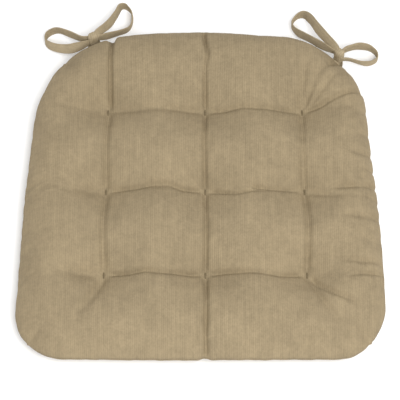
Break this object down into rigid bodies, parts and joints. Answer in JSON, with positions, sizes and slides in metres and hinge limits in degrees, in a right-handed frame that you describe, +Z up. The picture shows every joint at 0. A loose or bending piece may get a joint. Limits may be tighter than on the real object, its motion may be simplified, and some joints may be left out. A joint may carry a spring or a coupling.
{
  "type": "seat cushion",
  "caption": "Tufted knife-edge chair pad in fine-wale corduroy, with rounded corners, thread tufts and tie straps tied in bows at the back corners.",
  "frame": {"origin": "centre of the pad's footprint, without the bows, on the surface that the pad lies on", "axes": "+X towards the sitter's right-hand side, +Y towards the chair back and the ties, +Z up out of the seat"},
  "size_m": [0.4226, 0.4764, 0.0566],
  "materials": {
    "cover_top": "fine-wale corduroy, khaki tan, brushed nap, wales running front to back",
    "cover_bottom": "the same fine-wale corduroy as the top",
    "wadding": "lofted white polyester fibre sheet",
    "foam": "open-cell cream polyurethane foam",
    "seam_thread": "matt spun polyester sewing thread",
    "tuft_thread": "heavy doubled upholstery thread, darker tan",
    "tie_fabric": "folded and edge-stitched corduroy tape, a little lighter than the cover"
  },
  "bodies": {
    "root": {"top_cover": "cover_top", "bottom_cover": "cover_bottom", "top_wadding": "wadding", "foam_core": "foam", "bottom_wadding": "wadding", "edge_seam_thread": "seam_thread", "closing_stitches": "seam_thread", "left_tie_sewn_ends": "tie_fabric", "right_tie_sewn_ends": "tie_fabric", "tuft_front_left": "tuft_thread", "tuft_front_middle": "tuft_thread", "tuft_front_right": "tuft_thread", "tuft_centre_left": "tuft_thread", "tuft_centre_middle": "tuft_thread", "tuft_centre_right": "tuft_thread", "tuft_back_left": "tuft_thread", "tuft_back_middle": "tuft_thread", "tuft_back_right": "tuft_thread"},
    "left_bow": {"left_tie_knot": "tie_fabric", "left_tie_outer_strap": "tie_fabric", "left_tie_inner_strap": "tie_fabric"},
    "right_bow": {"right_tie_knot": "tie_fabric", "right_tie_outer_strap": "tie_fabric", "right_tie_inner_strap": "tie_fabric"}
  },
  "joints": [
    {"name": "left_bow_fold", "type": "hinge", "parent": "root", "child": "left_bow", "pos_m": [-0.12555, 0.19446, 0.034], "axis": [0.9455, 0.3256, 0], "range_deg": [0, 75]},
    {"name": "right_bow_fold", "type": "hinge", "parent": "root", "child": "right_bow", "pos_m": [0.15704, 0.174, 0.034], "axis": [0.7431, -0.6691, 0], "range_deg": [0, 75]}
  ]
}
